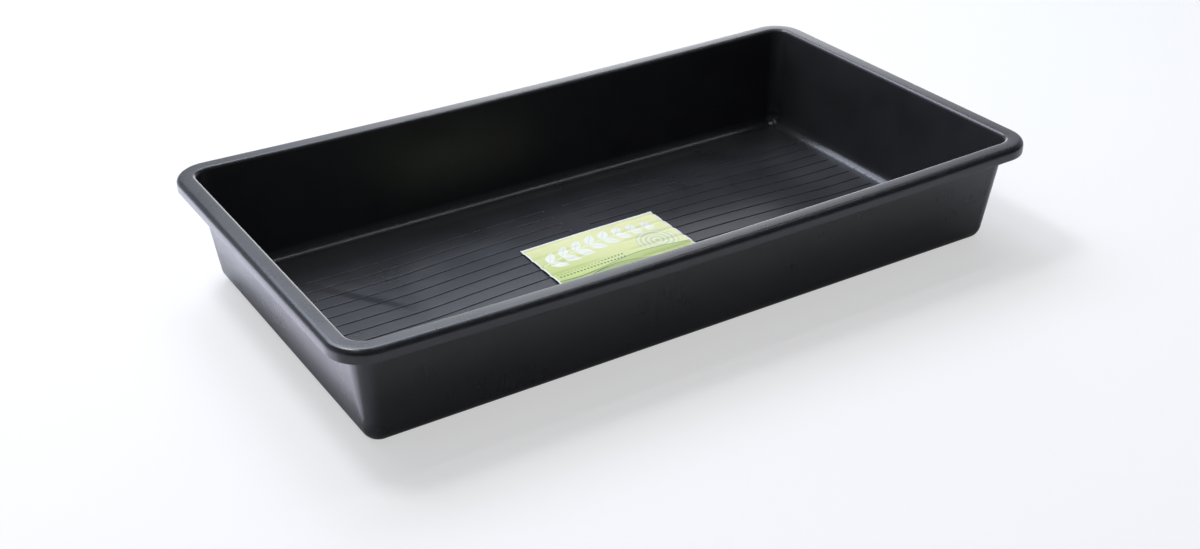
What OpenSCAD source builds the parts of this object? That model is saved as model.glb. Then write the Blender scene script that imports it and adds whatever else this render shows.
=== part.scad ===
// Rectangular garden tray: one moulding with leaning walls, a wide flat rim
// that turns down at its outer edge, and a grooved, gently crowned floor with
// a printed label lying on it.
// The origin is the middle of the footprint, on the ground. X runs along the
// length and Z is up.

/* [Tray] */
// Overall length, over the rim
tray_l = 1000; // [700:10:1200]
// Overall depth, over the rim
tray_w = 550; // [500:10:800]
// Overall height
tray_h = 150; // [100:5:200]
// Thickness of the moulding
wall_t = 2.5; // [2:0.5:4]
// Lean of the walls from upright, in degrees
wall_lean = 6.6; // [4:0.2:8]
// Inside radius where the walls meet each other and the floor
bend_r = 17; // [12:1:22]

/* [Rim] */
// Width of the rim, from its outer face to the opening
rim_w = 25; // [20:1:32]
// Depth of the turned-down skirt, from the top of the rim
skirt_h = 17; // [12:1:25]
// Outer radius of the shoulder between the rim and its skirt
shoulder_r = 5; // [4.5:0.5:7]
// Radius of the rim's corners, seen from above
rim_corner_r = 47; // [44:1:60]
// Radius of the rim's inner edge, where it turns down into the walls
inner_edge_r = 3; // [1:0.5:4]

/* [Floor] */
// Distance from one groove to the next
groove_pitch = 24.5; // [20:0.5:28]
// Grooves on each side of the middle one
groove_pairs = 6; // [3:1:6]
// Width of a groove
groove_w = 2.2; // [1.6:0.2:4]
// Depth of a groove
groove_d = 1; // [0.6:0.1:1.4]
// Width of the plain strip across the middle, where the grooves stop
plain_strip_w = 28; // [10:2:60]
// Rise of the floor's crown at the middle of the tray
crown_h = 10; // [5:1:12]
// Flat floor left between the crown and each short wall
crown_gap_l = 128; // [20:1:160]
// Flat floor left between the crown and each long wall
crown_gap_w = 8; // [6:1:60]

/* [Label] */
// Length of the label
label_l = 210; // [120:2:260]
// Depth of the label
label_w = 148; // [80:2:180]
// Thickness of the label
label_t = 0.4; // [0.3:0.1:1]
// Distance from the middle of the tray to the middle of the label, towards the front
label_forward = 18; // [0:1:30]

/* [Hidden] */
// Whatever cuts a face, or joins on to one, runs past it by this much
past = 1;
// The bends are those of a ball rolled round the inside: height of its centre,
// and how far in from the rim's outer face the centre stays, to the nearest tenth
ball_z = wall_t + bend_r;
ball_path = rim_w + (tray_h - ball_z) * tan(wall_lean) + bend_r / cos(wall_lean);
ball_in = round(10 * ball_path) / 10;
ball_x = tray_l / 2 - ball_in;
ball_y = tray_w / 2 - ball_in;
// The rim's cross-section turns round these points at its corners
turn_x = tray_l / 2 - rim_corner_r;
turn_y = tray_w / 2 - rim_corner_r;
// Rounding of the skirt's lower edge
lip_r = wall_t / 2;
// Steps of the rounding along the rim's inner edge
edge_steps = 6;
// The crown is a patch of a very large barrel. Half its length and half its depth,
// where it meets the floor, give the barrel's two radii.
crown_x = ball_x - crown_gap_l;
crown_y = ball_y - crown_gap_w;
crown_x_r = (pow(crown_x, 2) + pow(crown_h, 2)) / (2 * crown_h);
crown_y_r = (pow(crown_y, 2) + pow(crown_h, 2)) / (2 * crown_h);
crown_sweep = 2 * asin(1.3 * crown_x / crown_x_r);

// Half of the wall's cross-section for a bend of radius r: x runs outwards from the
// middle of a corner's bend. With an edge radius it flares out over the top of the rim.
module wall_side(r, z1, edge_r = 0) {
    lean_run = tan(wall_lean);
    face_x = r / cos(wall_lean);
    tangent_x = r * cos(wall_lean);
    tangent_z = ball_z - r * sin(wall_lean);
    edge_z = tray_h - edge_r;
    edge_x = face_x + (edge_z - ball_z) * lean_run + edge_r / cos(wall_lean);
    step = (90 - wall_lean) / edge_steps;
    flare = [
        for (k = [0:edge_steps])
            [edge_x - edge_r * sin(k * step), edge_z + edge_r * cos(k * step)]
    ];
    plain = [[face_x + (z1 - ball_z) * lean_run, z1]];
    top = edge_r > 0 ? concat([[edge_x, z1]], flare) : plain;
    polygon(concat([[0, ball_z - r], [0, z1]], top, [[tangent_x, tangent_z]]));
    intersection() {
        translate([0, ball_z])
            circle(r = r, $fn = 64);
        square([2 * r, ball_z]);
    }
}

// Tub with leaning walls and every bend of radius r, filled up to height z1
module tub(r, z1, edge_r = 0) {
    rotate([90, 0, 0])
        linear_extrude(2 * ball_y, center = true)
            tub_section(r, z1, ball_x, edge_r);
    rotate([90, 0, 90])
        linear_extrude(2 * ball_x, center = true)
            tub_section(r, z1, ball_y, edge_r);
    for (side = [0:3]) {
        out = side % 2 == 0 ? ball_x : ball_y;
        along = side % 2 == 0 ? ball_y : ball_x;
        rotate([0, 0, 90 * side])
            translate([out, along, 0])
                rotate_extrude(angle = 90, $fn = 64)
                    wall_side(r, z1, edge_r);
    }
}

// Whole cross-section of a tub whose side bends are centred at half either way
module tub_section(r, z1, half, edge_r) {
    translate([-half, ball_z - r])
        square([2 * half, z1 - ball_z + r]);
    for (side = [0, 1])
        mirror([side, 0])
            translate([half, 0])
                wall_side(r, z1, edge_r);
}

// Cross-section of the rim: x runs outwards from the middle of a corner's turn,
// and y is the height
module rim_section() {
    skirt_z = tray_h - skirt_h;
    plate_start = rim_corner_r - rim_w - 8;
    shoulder_x = rim_corner_r - shoulder_r;
    difference() {
        union() {
            translate([plate_start, skirt_z + lip_r])
                square([shoulder_x - plate_start, skirt_h - lip_r]);
            translate([plate_start, skirt_z + lip_r])
                square([rim_corner_r - plate_start, skirt_h - lip_r - shoulder_r]);
            translate([shoulder_x, tray_h - shoulder_r])
                circle(r = shoulder_r, $fn = 40);
            translate([rim_corner_r - lip_r, skirt_z + lip_r])
                circle(r = lip_r, $fn = 24);
        }
        translate([plate_start - past, skirt_z])
            square([rim_corner_r - wall_t - plate_start + past, skirt_h - shoulder_r]);
        translate([plate_start - past, skirt_z])
            square([shoulder_x - plate_start + past, skirt_h - wall_t]);
        translate([shoulder_x, tray_h - shoulder_r])
            circle(r = shoulder_r - wall_t, $fn = 24);
    }
}

// The rim's cross-section carried along the four sides and round the four corners
module rim() {
    for (side = [0:3]) {
        out = side % 2 == 0 ? turn_x : turn_y;
        along = side % 2 == 0 ? turn_y : turn_x;
        rotate([0, 0, 90 * side]) {
            translate([out, 0, 0])
                rotate([90, 0, 0])
                    linear_extrude(2 * along, center = true)
                        rim_section();
            translate([out, along, 0])
                rotate_extrude(angle = 90, $fn = 96)
                    rim_section();
        }
    }
}

// Everything under the crowned surface that rises from height z, and just below it
module crown(z) {
    intersection() {
        translate([0, 0, z + crown_h - crown_x_r])
            rotate([90, 0, 0])
                rotate_extrude(angle = crown_sweep, start = 90 - crown_sweep / 2, $fn = 360)
                    crown_section();
        translate([-2 * crown_x, -2 * crown_y, z - past / 2])
            cube([4 * crown_x, 4 * crown_y, 2 * crown_h]);
    }
}

// Cross-section of the barrel's outermost part: x is the distance from its axis
module crown_section() {
    intersection() {
        translate([crown_x_r - crown_y_r, 0])
            circle(r = crown_y_r, $fn = 540);
        translate([crown_x_r - 2 * crown_h, -2 * crown_y])
            square([3 * crown_h, 4 * crown_y]);
    }
}

// Channels of the floor's grooves, from their bottoms upwards
module grooves() {
    bottom_z = wall_t - groove_d;
    reach = ball_x - plain_strip_w / 2;
    difference() {
        for (k = [-groove_pairs:groove_pairs], side = [-1, 1])
            translate([side * (plain_strip_w + reach) / 2, k * groove_pitch, bottom_z + ball_z / 2])
                cube([reach, groove_w, ball_z], center = true);
        crown(bottom_z);
    }
}

// The one-piece moulding
module tray() {
    color("#26282b")
    difference() {
        union() {
            difference() {
                union() {
                    tub(bend_r + wall_t, tray_h - wall_t / 2);
                    rim();
                }
                tub(bend_r, tray_h + past, inner_edge_r);
            }
            crown(wall_t);
        }
        crown(0);
        grooves();
    }
}

// The printed label, lying on the crown and bridging the grooves
module label() {
    color("#c9d77a")
    intersection() {
        difference() {
            crown(wall_t + label_t);
            crown(wall_t);
        }
        translate([-label_l / 2, -label_forward - label_w / 2, 0])
            cube([label_l, label_w, tray_h]);
    }
}

tray();
label();
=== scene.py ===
"""A garden tray of black moulded plastic, with a printed label lying on its floor."""
import math

import bpy
from mathutils import Matrix, Vector


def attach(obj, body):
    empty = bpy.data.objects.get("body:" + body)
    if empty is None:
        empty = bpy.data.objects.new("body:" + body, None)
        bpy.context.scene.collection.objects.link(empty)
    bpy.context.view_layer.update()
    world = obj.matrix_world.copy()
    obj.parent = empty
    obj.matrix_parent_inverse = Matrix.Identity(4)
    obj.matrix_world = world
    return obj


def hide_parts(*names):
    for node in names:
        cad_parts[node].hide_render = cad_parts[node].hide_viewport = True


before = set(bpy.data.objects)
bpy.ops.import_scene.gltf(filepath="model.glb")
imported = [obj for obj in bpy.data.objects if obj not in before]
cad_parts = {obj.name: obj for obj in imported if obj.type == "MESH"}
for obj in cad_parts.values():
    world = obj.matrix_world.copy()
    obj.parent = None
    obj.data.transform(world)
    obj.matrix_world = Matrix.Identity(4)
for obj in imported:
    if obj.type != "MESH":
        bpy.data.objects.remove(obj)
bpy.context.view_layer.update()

# Sizes of the tray, in metres
LENGTH, DEPTH, HEIGHT = 1.0, 0.55, 0.15
# Thickness of the plastic, the walls' lean from upright, and the inside radius of the bends
WALL, LEAN, BEND = 0.0025, math.radians(6.6), 0.017
# Width of the rim, depth of its skirt, and radius of its shoulder and of its corners
RIM, SKIRT, SHOULDER, CORNER = 0.025, 0.017, 0.0075, 0.047
# From groove to groove, a groove's width, grooves on each side of the middle one, and the
# plain strip's width
PITCH, GROOVE, GROOVE_PAIRS, STRIP = 0.0245, 0.0022, 6, 0.028
# Rise of the floor's crown, how far to the right its peak lies, and half its length
CROWN, CROWN_X, CROWN_REACH = 0.0100, 0.050, 0.315
# How far in from the rim's outer face the bottom bend ends and the floor begins
FOOT = RIM + (HEIGHT - WALL - BEND) * math.tan(LEAN) + BEND / math.cos(LEAN) + 0.0005
FLOOR_Y = DEPTH / 2 - FOOT

# Sizes of the label, and how far in front of the tray's middle it lies
LABEL_L, LABEL_W, LABEL_T, LABEL_FORWARD = 0.210, 0.148, 0.0003, 0.018


# Node trees

def add_node(tree, kind, settings=None, inputs=None):
    """Adds a node, sets its properties, and links or sets its inputs."""
    node = tree.nodes.new(kind)
    for key, value in (settings or {}).items():
        setattr(node, key, value)
    for key, value in (inputs or {}).items():
        feed(tree, node.inputs[key], value)
    return node


def feed(tree, socket, value):
    """Links a socket to another one, or sets it to a plain value."""
    if isinstance(value, Term):
        value = value.socket
    if isinstance(value, bpy.types.NodeSocket):
        tree.links.new(value, socket)
    else:
        socket.default_value = value


class Term:
    """A number inside a node tree, so that a sum of sockets is written as a sum."""

    def __init__(self, tree, socket):
        self.tree, self.socket = tree, socket

    def maths(self, operation, *others, first=None):
        """A Math node on this number and the others, with first put before it."""
        values = ([first] if first is not None else []) + [self] + list(others)
        node = self.tree.nodes.new("ShaderNodeMath")
        node.operation = operation
        for socket, value in zip(node.inputs, values):
            feed(self.tree, socket, value)
        return Term(self.tree, node.outputs[0])

    def __add__(self, other):
        return self.maths("ADD", other)

    def __radd__(self, other):
        return self.maths("ADD", other)

    def __sub__(self, other):
        return self.maths("SUBTRACT", other)

    def __rsub__(self, other):
        return self.maths("SUBTRACT", first=other)

    def __mul__(self, other):
        return self.maths("MULTIPLY", other)

    def __rmul__(self, other):
        return self.maths("MULTIPLY", other)

    def __truediv__(self, other):
        return self.maths("DIVIDE", other)

    def __rtruediv__(self, other):
        return self.maths("DIVIDE", first=other)

    def __mod__(self, other):
        return self.maths("FLOORED_MODULO", other)

    def __neg__(self):
        return self.maths("MULTIPLY", -1.0)

    def __abs__(self):
        return self.maths("ABSOLUTE")

    def floor(self):
        return self.maths("FLOOR")

    def sign(self):
        return self.maths("SIGN")

    def sin(self):
        return self.maths("SINE")

    def cos(self):
        return self.maths("COSINE")

    def tan(self):
        return self.maths("TANGENT")

    def least(self, other):
        return self.maths("MINIMUM", other)

    def most(self, other):
        return self.maths("MAXIMUM", other)

    def soft_most(self, other, blend):
        return self.maths("SMOOTH_MAX", other, blend)

    def power(self, other):
        return self.maths("POWER", other)

    def over(self, other):
        return self.maths("GREATER_THAN", other)

    def under(self, other):
        return self.maths("LESS_THAN", other)

    def ramp(self, low, high, to_low=0.0, to_high=1.0):
        """A smooth step from to_low to to_high as this goes from low to high."""
        node = self.tree.nodes.new("ShaderNodeMapRange")
        node.interpolation_type = "SMOOTHSTEP"
        for name, value in (("Value", self), ("From Min", low), ("From Max", high),
                            ("To Min", to_low), ("To Max", to_high)):
            feed(self.tree, node.inputs[name], value)
        return Term(self.tree, node.outputs["Result"])


def pick(flag, yes, no):
    """yes where flag is 1, no where it is 0."""
    return no + flag * (yes - no)


def new_group(name, kind, inlets, outlets):
    """A node group with named inputs and outputs, and its inputs as a dictionary."""
    tree = bpy.data.node_groups.new(name, kind)
    for title, socket_type, value in inlets:
        socket = tree.interface.new_socket(title, in_out="INPUT", socket_type=socket_type)
        if value is not None:
            socket.default_value = value
    for title, socket_type in outlets:
        tree.interface.new_socket(title, in_out="OUTPUT", socket_type=socket_type)
    source = tree.nodes.new("NodeGroupInput")
    given = {}
    for socket in source.outputs:
        if socket.name:
            given[socket.name] = Term(tree, socket) if socket.type in ("VALUE", "INT") else socket
    return tree, given, tree.nodes.new("NodeGroupOutput")


def join_vector(tree, x=0.0, y=0.0, z=0.0):
    return add_node(tree, "ShaderNodeCombineXYZ", None, {"X": x, "Y": y, "Z": z}).outputs[0]


def split_vector(tree, vector):
    node = add_node(tree, "ShaderNodeSeparateXYZ", None, {0: vector})
    return [Term(tree, socket) for socket in node.outputs]


# The moulding

FLOAT, WHOLE = "NodeSocketFloat", "NodeSocketInt"
GEOMETRY, MATERIAL = "NodeSocketGeometry", "NodeSocketMaterial"


def by_index(tree, index, values, data_type):
    """Chooses the value whose place in the list is the index."""
    node = add_node(tree, "GeometryNodeIndexSwitch", {"data_type": data_type})
    while len(node.index_switch_items) < len(values):
        node.index_switch_items.new()
    feed(tree, node.inputs["Index"], index)
    for place, value in enumerate(values):
        feed(tree, node.inputs[place + 1], value)
    return node.outputs[0]


def point_index(tree):
    return Term(tree, tree.nodes.new("GeometryNodeInputIndex").outputs[0])


def point_row(tree, count, start, end):
    """A row of evenly spaced points from start to end."""
    line = add_node(tree, "GeometryNodeMeshLine", {"mode": "END_POINTS"},
                    {"Count": count, "Start Location": start, "Offset": end})
    return line.outputs[0]


def place_points(tree, geometry, position):
    return add_node(tree, "GeometryNodeSetPosition", None,
                    {"Geometry": geometry, "Position": position}).outputs[0]


def join_all(tree, *parts):
    node = tree.nodes.new("GeometryNodeJoinGeometry")
    for part in parts:
        tree.links.new(part, node.inputs[0])
    return node.outputs[0]


def read_point(tree, geometry, index):
    """The x, y and z of one point of another piece of geometry."""
    place = tree.nodes.new("GeometryNodeInputPosition").outputs[0]
    node = add_node(tree, "GeometryNodeSampleIndex",
                    {"data_type": "FLOAT_VECTOR", "domain": "POINT"},
                    {"Geometry": geometry, "Value": place, "Index": index})
    return split_vector(tree, node.outputs[0])


def point_count(tree, geometry, component):
    node = add_node(tree, "GeometryNodeAttributeDomainSize",
                    {"component": component}, {0: geometry})
    return Term(tree, node.outputs["Point Count"])


def in_order(tree, geometry, axis):
    """The same points, numbered in order along an axis: 0 for x, 1 for y."""
    place = split_vector(tree, tree.nodes.new("GeometryNodeInputPosition").outputs[0])
    node = add_node(tree, "GeometryNodeSortElements", {"domain": "POINT"},
                    {"Geometry": geometry, "Sort Weight": place[axis]})
    return node.outputs[0]


def mirrored(tree, geometry, scale):
    """The same points on the other side of the middle."""
    return add_node(tree, "GeometryNodeTransform", None,
                    {"Geometry": geometry, "Scale": scale}).outputs[0]


# A point nearer than this to the floor's edge is on it
EDGE = 0.00001


def corner_wrap_group():
    """Carries a point of the floor's edge out to a ring with rounded corners."""
    tree, at, result = new_group(
        "Corner wrap", "GeometryNodeTree",
        [(name, FLOAT, None) for name in ("X", "Y", "Floor X", "Floor Y", "Zone",
                                          "Ring X", "Ring Y", "Ring Radius")],
        [("X", FLOAT), ("Y", FLOAT)])
    x, y = abs(at["X"]), abs(at["Y"])
    on_end = x.over(at["Floor X"] - EDGE)
    along = pick(on_end, y, x)
    floor_half = pick(on_end, at["Floor Y"], at["Floor X"]) - at["Zone"]
    ring_along = pick(on_end, at["Ring Y"], at["Ring X"])
    ring_out = pick(on_end, at["Ring X"], at["Ring Y"])
    radius = at["Ring Radius"]
    share = (along - floor_half).most(0.0) / at["Zone"]
    straight = ring_along - radius - floor_half
    run = share * (straight + radius * (math.pi / 4))
    turn = (run - straight).most(0.0) / radius
    new_along = along.least(floor_half) + run.least(straight) + radius * turn.sin()
    new_out = ring_out - radius + radius * turn.cos()
    feed(tree, result.inputs["X"], at["X"].sign() * pick(on_end, new_out, new_along))
    feed(tree, result.inputs["Y"], at["Y"].sign() * pick(on_end, new_along, new_out))
    return tree


def tray_tree():
    """The whole moulding, from its sizes: floor, bends, walls, rim, skirt and underside."""
    tree, size, result = new_group(
        "Tray moulding", "GeometryNodeTree",
        [("Length", FLOAT, LENGTH), ("Depth", FLOAT, DEPTH), ("Height", FLOAT, HEIGHT),
         ("Wall", FLOAT, WALL), ("Lean", FLOAT, LEAN), ("Bend Radius", FLOAT, BEND),
         ("Rim Width", FLOAT, RIM), ("Skirt", FLOAT, SKIRT), ("Shoulder Radius", FLOAT, SHOULDER),
         ("Inner Edge Radius", FLOAT, 0.0052), ("Corner Radius", FLOAT, CORNER),
         ("Foot", FLOAT, FOOT), ("Corner Zone", FLOAT, 0.024),
         ("Groove Pitch", FLOAT, PITCH), ("Groove Pairs", WHOLE, GROOVE_PAIRS),
         ("Groove Width", FLOAT, GROOVE), ("Groove Depth", FLOAT, 0.0011),
         ("Plain Strip", FLOAT, STRIP), ("Crown", FLOAT, CROWN), ("Crown X", FLOAT, CROWN_X),
         ("Crown Reach", FLOAT, CROWN_REACH),
         ("Front Droop", FLOAT, 0.0056), ("Back Droop", FLOAT, 0.0043),
         ("Plastic", MATERIAL, None)],
        [("Geometry", GEOMETRY)])
    wall, lean, height, rim = size["Wall"], size["Lean"], size["Height"], size["Rim Width"]
    zone, foot = size["Corner Zone"], size["Foot"]
    floor_x = size["Length"] * 0.5 - foot
    floor_y = size["Depth"] * 0.5 - foot
    slope = lean.tan()
    outward = wall / lean.cos()

    # The cross-section runs from the floor's edge up the wall, over the rim and back down
    # outside. Each corner has its distance in from the rim's outer face, its height, the
    # radius there and the number of steps in it.
    def inner(z):
        return rim + (height - z) * slope

    def outer(z):
        return inner(z) - outward

    low, under_rim = wall + size["Bend Radius"], height - wall
    skirt_z = height - size["Skirt"]
    corners = [(foot, wall, 0.0, 1), (inner(wall), wall, size["Bend Radius"], 12)]
    up_wall = [low + (height - low) * share for share in (0.15, 0.4, 0.65)]
    corners += [(inner(z), z, 0.0, 1) for z in up_wall]
    corners += [(rim, height, size["Inner Edge Radius"], 9),
                (0.0, height, size["Shoulder Radius"], 14),
                (0.0, skirt_z, wall * 0.48, 5), (wall, skirt_z, wall * 0.48, 5),
                (wall, under_rim, wall * 2.0, 6), (outer(under_rim), under_rim, wall * 1.6, 5)]
    corners += [(outer(z), z, 0.0, 1) for z in up_wall[::-1]]
    corners += [(outer(0.0), 0.0, size["Bend Radius"] + wall, 12), (foot, 0.0, 0.0, 1)]
    index = point_index(tree)
    line = add_node(tree, "GeometryNodeCurvePrimitiveLine")
    points = add_node(tree, "GeometryNodeResampleCurve", {"mode": "COUNT"},
                      {"Curve": line.outputs[0], "Count": len(corners)})
    insets, levels, radii, steps = zip(*corners)
    places = [join_vector(tree, d, z) for d, z in zip(insets, levels)]
    bent = place_points(tree, points.outputs[0], by_index(tree, index, places, "VECTOR"))
    section = add_node(tree, "GeometryNodeFilletCurve", {"mode": "POLY"}, {
        "Curve": bent, "Count": by_index(tree, index, steps, "INT"),
        "Radius": by_index(tree, index, radii, "FLOAT")}).outputs[0]
    section_count = point_count(tree, section, "CURVE")

    # Rows across the floor: every groove is one cross-section, repeated at the pitch. The
    # shape gives shares of the groove's half width and of its depth, from the middle out.
    pitch, pairs, half = size["Groove Pitch"], size["Groove Pairs"], size["Groove Width"] * 0.5
    shape = [(0.0, 1.0), (0.45, 0.92), (0.85, 0.28), (1.1, 0.05), (1.35, 0.0), (1.8, 0.0)]
    offsets = [pitch / 3] + [half * place for place, depth in shape[::-1]]
    offsets = [offset * -1.0 for offset in offsets] + offsets[-2::-1]
    depths = [0.0] + [depth for place, depth in shape[::-1]]
    depths += depths[-2::-1]
    places = [join_vector(tree, 0.0, y, z) for y, z in zip(offsets, depths)]
    cut = place_points(tree, point_row(tree, len(depths), (0, 0, 0), (0, 1, 0)),
                       by_index(tree, index, places, "VECTOR"))
    reach = pairs * pitch
    cuts = add_node(tree, "GeometryNodeInstanceOnPoints", None, {
        "Points": point_row(tree, pairs * 2 + 1, join_vector(tree, 0.0, -reach),
                            join_vector(tree, 0.0, reach)),
        "Instance": cut})
    cut_rows = add_node(tree, "GeometryNodeRealizeInstances", None, {0: cuts.outputs[0]}).outputs[0]
    edge_y = floor_y - zone
    margin = edge_y - reach - pitch / 3
    corner_points = 17
    side_rows = join_all(
        tree,
        point_row(tree, corner_points, join_vector(tree, 0.0, edge_y),
                  join_vector(tree, 0.0, floor_y)),
        point_row(tree, 4, join_vector(tree, 0.0, edge_y - margin * 0.2),
                  join_vector(tree, 0.0, edge_y - margin * 0.8)))
    other_rows = mirrored(tree, side_rows, (1.0, -1.0, 1.0))
    rows = in_order(tree, join_all(tree, cut_rows, side_rows, other_rows), axis=1)
    row_count = point_count(tree, rows, "MESH")

    # Columns along the floor, close together where the grooves begin and at the corners
    strip = size["Plain Strip"] * 0.5
    edge_x = floor_x - zone
    end_columns = join_all(
        tree,
        point_row(tree, corner_points, join_vector(tree, edge_x), join_vector(tree, floor_x)),
        point_row(tree, 26, join_vector(tree, strip + 0.012), join_vector(tree, edge_x - 0.008)),
        point_row(tree, 7, join_vector(tree, strip - 0.001), join_vector(tree, strip + 0.005)))
    other_columns = mirrored(tree, end_columns, (-1.0, 1.0, 1.0))
    middle = point_row(tree, 2, join_vector(tree, strip * -0.4), join_vector(tree, strip * 0.4))
    columns = in_order(tree, join_all(tree, end_columns, other_columns, middle), axis=0)
    column_count = point_count(tree, columns, "MESH")

    # The floor as a flat sheet, and the loop of points round its edge
    sheet = add_node(tree, "GeometryNodeMeshGrid", None,
                     {"Vertices X": column_count, "Vertices Y": row_count}).outputs[0]
    x = read_point(tree, columns, (index / row_count).floor())[0]
    row = read_point(tree, rows, index % row_count)
    y, depth = row[1], row[2]
    flat = place_points(tree, sheet, join_vector(tree, x, y))
    faces_beside = tree.nodes.new("GeometryNodeInputMeshEdgeNeighbors").outputs[0]
    open_edges = add_node(tree, "FunctionNodeCompare", {"data_type": "INT", "operation": "EQUAL"})
    compared = {socket.name: socket for socket in open_edges.inputs if socket.enabled}
    feed(tree, compared["A"], faces_beside)
    feed(tree, compared["B"], 1)
    loop = add_node(tree, "GeometryNodeMeshToCurve", None,
                    {"Mesh": flat, "Selection": open_edges.outputs[0]}).outputs[0]
    loop_count = point_count(tree, loop, "CURVE")

    # The floor's edge follows the first ring, so that the two meet
    wrap_tree = corner_wrap_group()

    def wrapped(px, py, inset, radius):
        node = add_node(tree, "GeometryNodeGroup", {"node_tree": wrap_tree}, {
            "X": px, "Y": py, "Floor X": floor_x, "Floor Y": floor_y, "Zone": zone,
            "Ring X": size["Length"] * 0.5 - inset, "Ring Y": size["Depth"] * 0.5 - inset,
            "Ring Radius": radius})
        return Term(tree, node.outputs[0]), Term(tree, node.outputs[1])

    # How far in the wall's foot is from its top, how fast its corners tighten on the way
    # down, and the least radius that they have
    wall_run, tightening, least_radius = 0.016, 0.25, 0.0006

    def corner_radius(inset, outside):
        """Corner radius at an inset: less by the inset over the rim, slowly down the wall,
        and by the inset again round the bottom bend."""
        d = inset + outside * wall
        down_wall = (d - rim).least(wall_run).most(0.0)
        r = size["Corner Radius"] - d.least(rim) - down_wall * tightening
        r = r - (d - rim - wall_run).most(0.0)
        return (r + outside * wall).most(least_radius)

    on_edge = abs(x).over(floor_x - EDGE).most(abs(y).over(floor_y - EDGE))
    ring_x, ring_y = wrapped(x, y, foot, corner_radius(foot, 0.0))
    px, py = pick(on_edge, ring_x, x), pick(on_edge, ring_y, y)

    # The floor's height: the crown, which dies out before the edge, less the grooves
    along = (x - size["Crown X"]) / size["Crown Reach"]
    across = abs(y / floor_y)
    lengthways = (1.0 - along * along).soft_most(0.0, 0.25)
    crossways = (1.0 - across.power(3.0)).soft_most(0.0, 0.3)
    inside_x = abs(x).ramp(floor_x - 0.02, floor_x, 1.0, 0.0)
    inside_y = abs(y).ramp(floor_y - 0.02, floor_y, 1.0, 0.0)
    swell = size["Crown"] * lengthways * crossways * (inside_x * inside_y)
    past_strip = abs(x).ramp(strip, strip + 0.003)
    cut_share = past_strip * abs(x).ramp(floor_x - 0.004, floor_x - 0.0005, 1.0, 0.0)
    surface = wall + swell - depth * cut_share * size["Groove Depth"]
    top = place_points(tree, sheet, join_vector(tree, px, py, surface))
    bottom = place_points(tree, sheet, join_vector(tree, px, py, swell))
    bottom = add_node(tree, "GeometryNodeFlipFaces", None, {0: bottom}).outputs[0]

    # The rest of the moulding: the cross-section carried round the loop and back to its start
    around = loop_count + 1.0
    skin = add_node(tree, "GeometryNodeMeshGrid", None,
                    {"Vertices X": section_count, "Vertices Y": around}).outputs[0]
    step = (index / around).floor()
    seat = (index % around) % loop_count
    inset, level, _ = read_point(tree, section, step)
    loop_x, loop_y, _ = read_point(tree, loop, seat)
    outside = step.over(section_count * 0.5)
    ring_x, ring_y = wrapped(loop_x, loop_y, inset, corner_radius(inset, outside))
    skin = place_points(tree, skin, join_vector(tree, ring_x, ring_y, level))
    skin = add_node(tree, "GeometryNodeFlipFaces", None, {0: skin}).outputs[0]
    whole = add_node(tree, "GeometryNodeMergeByDistance", None, {
        "Geometry": join_all(tree, top, bottom, skin), "Distance": 2 * EDGE}).outputs[0]

    # The long sides sag a little between their corners, most at the rim
    px, py, pz = split_vector(tree, tree.nodes.new("GeometryNodeInputPosition").outputs[0])
    share = px / (size["Length"] * 0.46)
    bow = (1.0 - share * share).soft_most(0.0, 0.2)
    side = abs(py).ramp(floor_y - 0.03, floor_y + 0.02)
    lift = (pz / height).ramp(0.12, 1.0) * 0.6 + (pz / height).most(0.0) * 0.4
    droop = pick(py.over(0.0), size["Back Droop"], size["Front Droop"])
    sagged = place_points(tree, whole, join_vector(tree, px, py, pz - droop * bow * side * lift))
    smooth = add_node(tree, "GeometryNodeSetShadeSmooth", None, {0: sagged}).outputs[0]
    real = add_node(tree, "GeometryNodeRealizeInstances", None, {0: smooth}).outputs[0]
    done = add_node(tree, "GeometryNodeSetMaterial", None,
                    {"Geometry": real, "Material": size["Plastic"]})
    tree.links.new(done.outputs[0], result.inputs[0])
    return tree


def grow(name, tree, values):
    """Runs a Geometry Nodes tree and keeps what it makes as a plain mesh."""
    holder = bpy.data.objects.new(name + "_holder", bpy.data.meshes.new(name + "_holder"))
    bpy.context.scene.collection.objects.link(holder)
    modifier = holder.modifiers.new(name, "NODES")
    modifier.node_group = tree
    for item in tree.interface.items_tree:
        if item.item_type == "SOCKET" and item.in_out == "INPUT" and item.name in values:
            modifier[item.identifier] = values[item.name]
    depsgraph = bpy.context.evaluated_depsgraph_get()
    mesh = bpy.data.meshes.new_from_object(holder.evaluated_get(depsgraph), depsgraph=depsgraph)
    holder.modifiers.remove(modifier)
    bpy.data.objects.remove(holder)
    mesh.name = name
    if signed_volume(mesh) < 0:
        mesh.flip_normals()
    piece = bpy.data.objects.new(name, mesh)
    bpy.context.scene.collection.objects.link(piece)
    return piece


def signed_volume(mesh):
    """Volume inside a closed mesh, below zero if its faces are turned inwards."""
    mesh.calc_loop_triangles()
    total = 0.0
    for triangle in mesh.loop_triangles:
        a, b, c = (mesh.vertices[i].co for i in triangle.vertices)
        total += a.dot(b.cross(c))
    return total / 6


def floor_height(x, y):
    """Height of the floor's top surface between its grooves."""
    along = (x - CROWN_X) / CROWN_REACH
    across = abs(y / FLOOR_Y)
    return WALL + CROWN * max(1 - along * along, 0) * (1 - across ** 3)


# Finishes

VECTOR = "NodeSocketVector"


def noise(tree, vector, scale, detail=2.0, roughness=0.5):
    node = add_node(tree, "ShaderNodeTexNoise", None, {
        "Vector": vector, "Scale": scale, "Detail": detail, "Roughness": roughness})
    return Term(tree, node.outputs["Fac"])


def stretched(tree, vector, scale, turn):
    node = add_node(tree, "ShaderNodeMapping", None,
                    {"Vector": vector, "Rotation": (0, 0, turn), "Scale": scale})
    return node.outputs[0]


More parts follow.
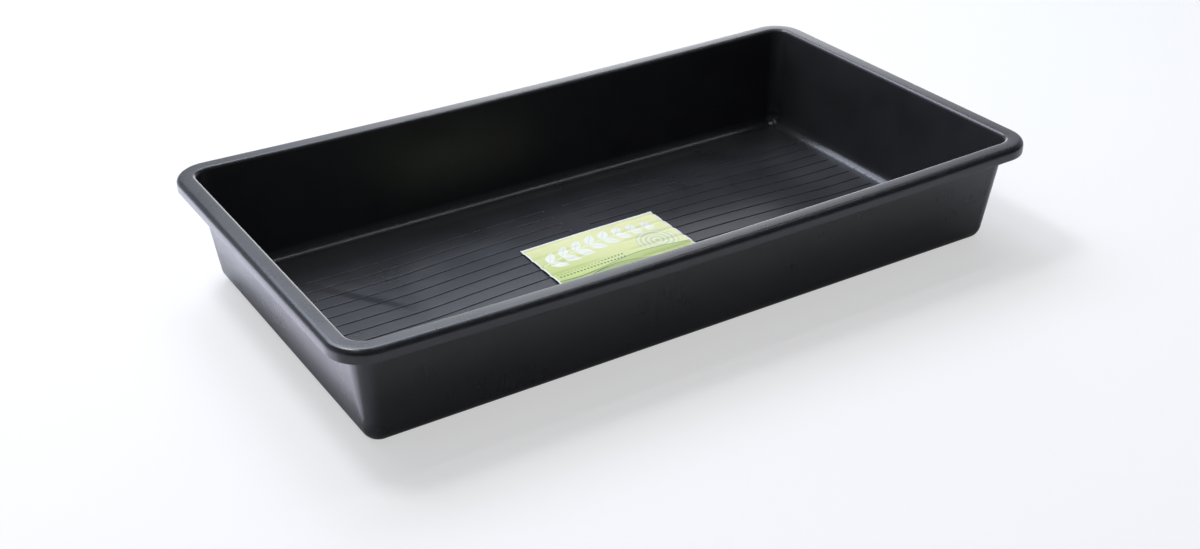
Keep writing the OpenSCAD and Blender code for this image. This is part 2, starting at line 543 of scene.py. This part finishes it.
def grain_group():
    """Fine moulded grain: a height for bump, and a slow mottle of the surface."""
    tree, at, result = new_group(
        "Moulded grain", "ShaderNodeTree",
        [("Vector", VECTOR, None), ("Grain Size", FLOAT, 0.0012), ("Mottle Size", FLOAT, 0.05)],
        [("Height", FLOAT), ("Mottle", FLOAT)])
    fine = noise(tree, at["Vector"], 1.0 / at["Grain Size"], 3.0, 0.6)
    slow = noise(tree, at["Vector"], 1.0 / at["Mottle Size"], 3.0, 0.55)
    feed(tree, result.inputs["Height"], fine)
    feed(tree, result.inputs["Mottle"], slow.ramp(0.3, 0.7))
    return tree


def scuff_group():
    """Fine rubs and hairline scratches that run a few ways across a surface."""
    tree, at, result = new_group(
        "Scuffs", "ShaderNodeTree",
        [("Vector", VECTOR, None), ("Amount", FLOAT, 0.5)], [("Mask", FLOAT)])
    total = None
    for turn, rate, low in ((0.25, 55.0, 0.62), (-0.6, 80.0, 0.65), (1.35, 65.0, 0.66)):
        fine = stretched(tree, at["Vector"], (rate * 0.06, rate * 3.2, rate * 0.4), turn)
        broad = stretched(tree, at["Vector"], (7.0, 9.0, 9.0), turn)
        streak = noise(tree, fine, 1.0, 2.0, 0.6).ramp(low, low + 0.1)
        mask = streak * noise(tree, broad, 1.0, 2.0).ramp(0.48, 0.66)
        total = mask if total is None else total.most(mask)
    feed(tree, result.inputs["Mask"], total * at["Amount"])
    return tree


def dust_group():
    """A thin film of dust where a surface faces up, thicker in patches and in specks."""
    tree, at, result = new_group(
        "Settled dust", "ShaderNodeTree",
        [("Vector", VECTOR, None), ("Amount", FLOAT, 0.5)], [("Mask", FLOAT)])
    up = split_vector(tree, tree.nodes.new("ShaderNodeNewGeometry").outputs["Normal"])[2]
    patch = noise(tree, at["Vector"], 9.0, 4.0, 0.6).ramp(0.30, 0.75)
    speck = noise(tree, at["Vector"], 520.0, 2.0, 0.7).ramp(0.58, 0.74)
    film = 0.25 + patch * 0.45 + speck * 0.5
    feed(tree, result.inputs["Mask"], up.ramp(0.6, 1.0) * film * at["Amount"])
    return tree


def new_material(name, ior):
    """A material with one Principled shader, and the piece's own coordinates."""
    material = bpy.data.materials.new(name)
    material.use_nodes = True
    tree = material.node_tree
    tree.nodes.clear()
    shader = tree.nodes.new("ShaderNodeBsdfPrincipled")
    output = tree.nodes.new("ShaderNodeOutputMaterial")
    tree.links.new(shader.outputs[0], output.inputs[0])
    shader.inputs["IOR"].default_value = ior
    place = tree.nodes.new("ShaderNodeTexCoord").outputs["Object"]
    return material, tree, shader, place


def use_group(tree, group, inputs):
    node = add_node(tree, "ShaderNodeGroup", {"node_tree": group}, inputs)
    return {socket.name: Term(tree, socket) for socket in node.outputs}


def mix_colour(tree, share, first, second):
    node = add_node(tree, "ShaderNodeMix", {"data_type": "RGBA"})
    for socket in node.inputs:
        if socket.enabled and socket.name in ("Factor", "A", "B"):
            feed(tree, socket, {"Factor": share, "A": first, "B": second}[socket.name])
    return [socket for socket in node.outputs if socket.enabled][0]


def bump(tree, height, strength, distance, under=None):
    """A normal bent by a height, on top of another bent normal if there is one."""
    inputs = {"Height": height, "Strength": strength, "Distance": distance}
    if under is not None:
        inputs["Normal"] = under
    return add_node(tree, "ShaderNodeBump", None, inputs).outputs[0]


grain, scuffs, dust = grain_group(), scuff_group(), dust_group()


def warp(x, y, start, end, drop):
    """Height of a soft step where the sheet has warped, along a line from one point of the
    floor to another."""
    width = 0.012
    a, b = Vector(start), Vector(end)
    along = (b - a).normalized()
    reach = (b - a).length
    run = (x - a.x) * along.x + (y - a.y) * along.y
    off = (x - a.x) * -along.y + (y - a.y) * along.x
    step = (off / width).ramp(-1.0, 1.0)
    step = step * step * (3.0 - step * 2.0)
    return step * run.ramp(0.0, reach * 0.4) * run.ramp(reach * 0.6, reach, 1.0, 0.0) * drop


def black_plastic():
    """Satin black plastic: fine grain, a slow ripple from the mould, two warped places in the
    floor, rubs on the floor and rim, faint upright streaks on the walls, and a film of dust
    that is thicker on the floor."""
    material, tree, shader, place = new_material("Black moulded plastic", 1.5)
    x, y, z = split_vector(tree, place)
    normal = tree.nodes.new("ShaderNodeNewGeometry").outputs["Normal"]
    out_x, out_y, up = split_vector(tree, normal)

    # Where on the tray a point is
    on_floor = z.ramp(0.020, 0.034, 1.0, 0.0) * up.ramp(0.80, 0.97)
    on_wall = abs(up).ramp(0.3, 0.6, 1.0, 0.0)
    on_inner_wall = on_wall * (-(x * out_x) - y * out_y).ramp(0.02, 0.10)
    to_groove = abs((y + PITCH / 2) % PITCH - PITCH / 2)
    beside_strip = abs(x).over(STRIP / 2)
    grooved = abs(y).under(PITCH * (GROOVE_PAIRS + 0.5))
    in_groove = to_groove.ramp(GROOVE / 2, GROOVE / 2 + 0.0004, 1.0, 0.0)
    in_groove = in_groove * beside_strip * grooved * on_floor

    # The floor's corners begin at one distance in from the rim's outer face, and are full at
    # another
    begins, full = 0.060, 0.048
    in_corner = abs(x).ramp(LENGTH / 2 - begins, LENGTH / 2 - full)
    in_corner = in_corner * abs(y).ramp(DEPTH / 2 - begins, DEPTH / 2 - full)
    in_corner = in_corner * z.ramp(0.018, 0.030, 1.0, 0.0)

    # Grain, rubs, dust, and streaks that run up the walls but not round their corners
    surface = use_group(tree, grain, {"Vector": place, "Grain Size": 0.0008, "Mottle Size": 0.07})
    mottle = surface["Mottle"]
    rubs = use_group(tree, scuffs, {
        "Vector": place, "Amount": (0.12 + on_floor * 0.7) * up.ramp(0.5, 0.9)})["Mask"]
    dusty = use_group(tree, dust, {"Vector": place, "Amount": 0.5 + on_floor * 0.4})["Mask"]
    streak_rate, streak_rise = 150.0, 2.5
    across = join_vector(tree, x * abs(out_y) * streak_rate, y * abs(out_x) * streak_rate,
                         z * streak_rise)
    flat_wall = abs(out_x).most(abs(out_y)).ramp(0.93, 0.985)
    streaks = noise(tree, across, 1.0, 3.0, 0.6).ramp(0.45, 0.75) * flat_wall

    body = mix_colour(tree, mottle, (0.0160, 0.0162, 0.0172, 1), (0.0195, 0.0199, 0.0213, 1))
    rubbed, dusted = (0.050, 0.053, 0.060, 1), (0.070, 0.076, 0.094, 1)
    # Colour of the painted light on the inner walls
    inner_wall_painted_light = (0.070, 0.074, 0.076, 1)
    body = mix_colour(tree, rubs * 0.20, body, rubbed)
    body = mix_colour(tree, dusty * 0.12, body, dusted)
    # Painted light: the inner walls are painted a little paler, and unevenly with the mottle,
    # standing in for light that falls on them
    body = mix_colour(tree, on_inner_wall * (0.02 + mottle * 0.04), body, inner_wall_painted_light)
    feed(tree, shader.inputs["Base Color"], body)

    roughness = 0.25 + on_wall * (0.02 + streaks * 0.025) + on_inner_wall * 0.07
    roughness = roughness + in_groove * 0.25 - in_corner * 0.13
    roughness = roughness + mottle * 0.03 + rubs * 0.10 + dusty * 0.06
    feed(tree, shader.inputs["Roughness"], roughness)

    # Heights in metres: the slow ripple, a tighter one in the floor's corners, and the warps
    relief = noise(tree, place, 14.0, 1.0, 0.4) * 0.00018
    relief = relief + noise(tree, place, 110.0, 1.0, 0.5) * in_corner * 0.0010
    warps = warp(x, y, (-0.405, 0.180), (-0.265, -0.015), -0.0009)
    warps = warps + warp(x, y, (0.440, 0.215), (0.265, 0.020), -0.0007)
    bent = bump(tree, relief + warps * on_floor, 1.0, 1.0)
    grain_strength = 0.15 + on_floor * 0.35 - on_wall * 0.11
    bent = bump(tree, surface["Height"], grain_strength, 0.00005, bent)
    feed(tree, shader.inputs["Normal"], bent)
    return material


def leaf_spray(x, y, start, turn, pitch, pairs, leaf_long, leaf_wide, bow):
    """Pairs of pointed leaves along a bowed stem: masks of the leaves and of their ribs."""
    c, k = math.cos(turn), math.sin(turn)
    run = (x - start[0]) * c + (y - start[1]) * k
    total = pitch * pairs
    off = (y - start[1]) * c - (x - start[0]) * k - (run / total * math.pi).sin() * bow
    side = abs(off)

    # Along and across one leaf, which leans away from the stem and is smaller further on
    lean = math.radians(48.0)
    past_root = run % pitch - pitch * 0.12
    a = past_root * math.cos(lean) + side * math.sin(lean)
    b = side * math.cos(lean) - past_root * math.sin(lean)
    size = leaf_long * run.ramp(total * 0.45, total * 1.1, 1.0, 0.45)
    along = (a / size).most(0.0).least(1.0)
    edge = (along * math.pi).sin() * leaf_wide * (1.25 - along * 0.5) - abs(b)
    leaf = edge.ramp(0.0, 0.0006) * (run.over(0.0) * run.under(total))
    rib = abs(b).ramp(0.0003, 0.0007, 1.0, 0.0) * leaf
    stem = side.ramp(0.0005, 0.0010, 1.0, 0.0) * run.over(-pitch * 0.3) * run.under(total)
    return leaf.most(stem), rib


def printed_paper():
    """Coated paper printed in yellow-green: a white border, a leaf spray, rolling bands of
    green along one side, two rows of dots and a pale ringed disc."""
    material, tree, shader, place = new_material("Printed label paper", 1.45)
    centred = add_node(tree, "ShaderNodeMapping", None,
                       {"Vector": place, "Location": (0.0, LABEL_FORWARD, 0.0)}).outputs[0]
    x, y, _ = split_vector(tree, centred)
    surface = use_group(tree, grain, {"Vector": place, "Grain Size": 0.0009, "Mottle Size": 0.035})
    half_x, half_y = LABEL_L / 2, LABEL_W / 2

    # Ground, paler towards the far right
    fade = (x + y * 1.8).ramp(-0.14, 0.10)
    ink = mix_colour(tree, fade, (0.52, 0.62, 0.19, 1), (0.80, 0.80, 0.44, 1))
    ink = mix_colour(tree, surface["Mottle"] * 0.25, ink, (0.62, 0.70, 0.28, 1))

    # Ringed disc
    disc_x, disc_y, disc_radius, ring_rate = x - 0.066, y + 0.001, 0.030, 900.0
    reach = (disc_x * disc_x + disc_y * disc_y).power(0.5)
    disc = reach.ramp(disc_radius - 0.001, disc_radius, 1.0, 0.0)
    ring = (reach * ring_rate).sin().ramp(0.2, 0.6)
    ink = mix_colour(tree, disc * 0.8, ink, (0.76, 0.78, 0.56, 1))
    ink = mix_colour(tree, disc * ring * 0.45, ink, (0.34, 0.48, 0.17, 1))

    # Bands: height of each crest above the near edge, its swing, its rate along the label,
    # where it starts, and the colour below it
    outline = (0.06, 0.16, 0.09, 1)
    for level, swing, rate, phase, colour in ((0.052, 0.006, 30.0, 0.6, (0.47, 0.56, 0.20, 1)),
                                              (0.040, 0.008, 34.0, 2.2, (0.34, 0.44, 0.13, 1)),
                                              (0.022, 0.007, 40.0, 4.1, (0.56, 0.64, 0.26, 1))):
        crest = (x * rate + phase).sin() * swing + (level - half_y) - y
        ink = mix_colour(tree, crest.ramp(-0.0003, 0.0003), ink, colour)
        ink = mix_colour(tree, abs(crest).ramp(0.0004, 0.0009, 0.8, 0.0), ink, outline)

    # Dots, in rows from their left and near end
    left, near, step_x, step_y, columns, rows = -0.098, -0.0205, 0.0052, 0.0074, 20, 2
    dot_x = (x - left) % step_x - step_x / 2
    dot_y = (y - near) % step_y - step_y / 2
    dots = (dot_x * dot_x + dot_y * dot_y).power(0.5).ramp(0.0014, 0.0018, 1.0, 0.0)
    dots = dots * y.over(near) * y.under(near + rows * step_y)
    dots = dots * x.over(left) * x.under(left + columns * step_x)
    ink = mix_colour(tree, dots * 0.9, ink, (0.05, 0.13, 0.08, 1))

    leaf, rib = leaf_spray(x, y, start=(-0.092, 0.022), turn=0.10, pitch=0.0232, pairs=8,
                           leaf_long=0.030, leaf_wide=0.0075, bow=0.008)
    ink = mix_colour(tree, leaf * 0.95, ink, (0.84, 0.86, 0.78, 1))
    ink = mix_colour(tree, rib * 0.4, ink, (0.40, 0.55, 0.20, 1))

    border = 0.0028
    inner = (half_x - border - abs(x)).least(half_y - border - abs(y))
    ink = mix_colour(tree, inner.ramp(-0.0002, 0.0002, 1.0, 0.0), ink, (0.80, 0.81, 0.78, 1))
    feed(tree, shader.inputs["Base Color"], ink)
    feed(tree, shader.inputs["Roughness"], 0.36 + surface["Mottle"] * 0.08)
    feed(tree, shader.inputs["Normal"], bump(tree, surface["Height"], 0.2, 0.00004))
    return material


# Pieces

plastic = black_plastic()
paper = printed_paper()

tray = grow("moulded_tray", tray_tree(), {"Plastic": plastic})
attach(tray, "root")
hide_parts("tray")


def make_label():
    """A thin sheet that follows the crown, dips a little at each groove and curls at its ends."""
    columns, rows = 106, 75
    hover, dip, curl, wave, lowest_wave = 0.0018, 0.0015, 0.010, 0.0004, -0.0002

    def height(x, y):
        """Height of the sheet's underside."""
        over_groove = max(math.cos(2 * math.pi * y / PITCH), 0.0) ** 3
        beside_strip = min(max((abs(x) - STRIP / 2) / 0.02, 0.0), 1.0)
        end_lift = curl * max(abs(x) / (LABEL_L / 2) - 0.75, 0.0) ** 2
        lift = wave * math.sin(x * 37.0 + 1.0) * math.cos(y * 29.0)
        return (floor_height(x, y) + hover - dip * over_groove * beside_strip
                + end_lift + max(lift, lowest_wave))

    points = []
    for layer in (0, 1):
        for i in range(columns):
            for j in range(rows):
                x = (i / (columns - 1) - 0.5) * LABEL_L
                y = (j / (rows - 1) - 0.5) * LABEL_W - LABEL_FORWARD
                points.append((x, y, height(x, y) + LABEL_T * layer))

    def at(layer, i, j):
        return (layer * columns + i) * rows + j

    faces = []
    end, far = columns - 1, rows - 1
    for i in range(end):
        for j in range(far):
            faces.append((at(1, i, j), at(1, i + 1, j), at(1, i + 1, j + 1), at(1, i, j + 1)))
            faces.append((at(0, i, j), at(0, i, j + 1), at(0, i + 1, j + 1), at(0, i + 1, j)))
    for i in range(end):
        faces.append((at(0, i, 0), at(0, i + 1, 0), at(1, i + 1, 0), at(1, i, 0)))
        faces.append((at(0, i, far), at(1, i, far), at(1, i + 1, far), at(0, i + 1, far)))
    for j in range(far):
        faces.append((at(0, 0, j), at(1, 0, j), at(1, 0, j + 1), at(0, 0, j + 1)))
        faces.append((at(0, end, j), at(0, end, j + 1), at(1, end, j + 1), at(1, end, j)))
    mesh = bpy.data.meshes.new("printed_label")
    mesh.from_pydata(points, [], faces)
    for polygon in mesh.polygons:
        polygon.use_smooth = abs(polygon.normal.z) > 0.5
    mesh.materials.append(paper)
    piece = bpy.data.objects.new("printed_label", mesh)
    bpy.context.scene.collection.objects.link(piece)
    return piece


label = make_label()
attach(label, "root")
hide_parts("label")


# Floor, light and camera

def make_floor():
    """A plain pale floor, made partly of its own white light where the camera sees it, and a
    little in reflections, so that it looks white and still shows the tray's shadow."""
    white_to_camera, white_in_reflections = 0.55, 0.07
    half, drop = 14.0, 0.0004
    corners = [(-half, -half, 0), (half, -half, 0), (half, half, 0), (-half, half, 0)]
    mesh = bpy.data.meshes.new("studio_floor")
    mesh.from_pydata(corners, [], [(0, 1, 2, 3)])
    floor = bpy.data.objects.new("studio_floor", mesh)
    floor.location.z = -drop
    bpy.context.scene.collection.objects.link(floor)
    material = bpy.data.materials.new("Studio floor")
    material.use_nodes = True
    tree = material.node_tree
    tree.nodes.clear()
    matt = add_node(tree, "ShaderNodeBsdfDiffuse", None, {"Color": (0.90, 0.90, 0.90, 1)})
    white = add_node(tree, "ShaderNodeEmission", None, {"Color": (1, 1, 1, 1), "Strength": 1.0})
    ray = tree.nodes.new("ShaderNodeLightPath").outputs
    reflected = Term(tree, ray["Is Glossy Ray"]) + Term(tree, ray["Is Transmission Ray"])
    share = Term(tree, ray["Is Camera Ray"]) * white_to_camera + reflected * white_in_reflections
    both = add_node(tree, "ShaderNodeMixShader", None,
                    {0: share, 1: matt.outputs[0], 2: white.outputs[0]})
    output = tree.nodes.new("ShaderNodeOutputMaterial")
    tree.links.new(both.outputs[0], output.inputs[0])
    mesh.materials.append(material)


def make_world(behind, ahead, overhead, glow):
    """A soft even light, dimmer in front and overhead, with a broad glow low behind the
    tray whose upper edge slopes down to the right."""
    world = bpy.data.worlds.new("Studio")
    world.use_nodes = True
    tree = world.node_tree
    tree.nodes.clear()
    x, y, z = split_vector(tree, tree.nodes.new("ShaderNodeTexCoord").outputs["Generated"])
    level = y.ramp(-0.5, 0.5, ahead, behind)
    level = pick(z.ramp(0.15, 0.7), overhead, level)

    # The glow: its middle to the right of straight back, its upper edge above level, and how
    # softly it ends above and on its right and left
    middle, top = math.radians(31.5), math.radians(22.8)
    soft_top, soft_right, soft_left = math.radians(4.2), math.radians(13.2), math.radians(9.2)
    aside = x.maths("ARCTAN2", y) - middle
    above = (z.maths("ARCSINE") - top + aside * 0.25).most(0.0) / soft_top
    beside = aside.most(0.0) / soft_right + aside.least(0.0) / soft_left
    spread = (-(beside * beside + above * above)).maths("EXPONENT")
    even = add_node(tree, "ShaderNodeBackground", None,
                    {"Color": (0.80, 0.84, 1.0, 1), "Strength": level})
    low = add_node(tree, "ShaderNodeBackground", None,
                   {"Color": (0.96, 0.98, 1.0, 1), "Strength": spread * glow})
    both = add_node(tree, "ShaderNodeAddShader", None, {0: even.outputs[0], 1: low.outputs[0]})
    output = tree.nodes.new("ShaderNodeOutputWorld")
    tree.links.new(both.outputs[0], output.inputs[0])
    bpy.context.scene.world = world


def bearing(heading, rise):
    """A direction: degrees to the right of straight back, and degrees above level."""
    turn, lift = math.radians(heading), math.radians(rise)
    level = math.cos(lift)
    return Vector((math.sin(turn) * level, math.cos(turn) * level, math.sin(lift)))


def panel(name, place, aim, width, height, brightness, colour=(1, 1, 1)):
    """A softbox of an even brightness that faces the point it is aimed at."""
    light = bpy.data.lights.new(name, "AREA")
    light.shape = "RECTANGLE"
    light.size, light.size_y = width, height
    light.energy = brightness * math.pi * width * height
    light.color = colour
    lamp = bpy.data.objects.new(name, light)
    bpy.context.scene.collection.objects.link(lamp)
    lamp.location = place
    lamp.rotation_euler = (Vector(aim) - Vector(place)).to_track_quat("-Z", "Y").to_euler()
    lamp.visible_camera = False


def make_lamps():
    """Two softboxes high behind the tray, two smaller lamps up on the left, a strip on the
    ceiling and a bounce card on the floor beside the left wall."""
    middle, far, near = Vector((0.0, 0.0, 0.08)), 4.0, 3.0
    daylight, bluish = (0.77, 0.84, 1.0), (0.81, 0.81, 1.0)
    panel("Key softbox", middle + far * bearing(-14, 49), middle,
          width=2.8, height=1.9, brightness=5.8, colour=daylight)
    panel("Back softbox", middle + far * bearing(24, 50), middle,
          width=1.4, height=1.4, brightness=6.2, colour=daylight)
    panel("Top left lamp", middle + near * bearing(-40, 66), middle,
          width=0.6, height=0.6, brightness=32.0)
    panel("Upper left lamp", middle + near * bearing(-113, 57), middle,
          width=0.5, height=0.5, brightness=3.0)
    panel("Ceiling strip", (1.2, 0.20, 2.7), (1.2, 0.20, 0.0),
          width=2.2, height=0.16, brightness=8.0)
    card, straight_up = Vector((-0.988, 0.295, 0.002)), Vector((0, 0, 1))
    panel("Left bounce card", card, card + straight_up,
          width=1.0, height=1.01, brightness=1.52, colour=bluish)


def make_camera():
    """The photograph's own viewpoint: turned and tipped in radians, with the focal length
    and the photograph's width in pixels."""
    place = Vector((-1.00326, -1.59174, 1.02139))
    turn, rise, roll = -0.5560, 0.5090, -0.0100
    focal_length, photo_width, sensor_width = 1586.0, 1200.0, 36.0
    forward = Vector((-math.sin(turn) * math.cos(rise), math.cos(turn) * math.cos(rise),
                      -math.sin(rise)))
    right = Vector((math.cos(turn), math.sin(turn), 0.0))
    up = right.cross(forward)
    rolled_right = math.cos(roll) * right + math.sin(roll) * up
    rolled_up = -math.sin(roll) * right + math.cos(roll) * up
    lens = bpy.data.cameras.new("Camera")
    lens.sensor_fit, lens.sensor_width = "HORIZONTAL", sensor_width
    lens.lens = sensor_width * focal_length / photo_width
    camera = bpy.data.objects.new("Camera", lens)
    bpy.context.scene.collection.objects.link(camera)
    matrix = Matrix((rolled_right, rolled_up, -forward)).transposed().to_4x4()
    matrix.translation = place
    camera.matrix_world = matrix
    bpy.context.scene.camera = camera


make_floor()
make_world(behind=0.80, ahead=0.08, overhead=0.15, glow=3.8)
make_lamps()
make_camera()
bpy.context.scene.view_settings.view_transform = "Standard"
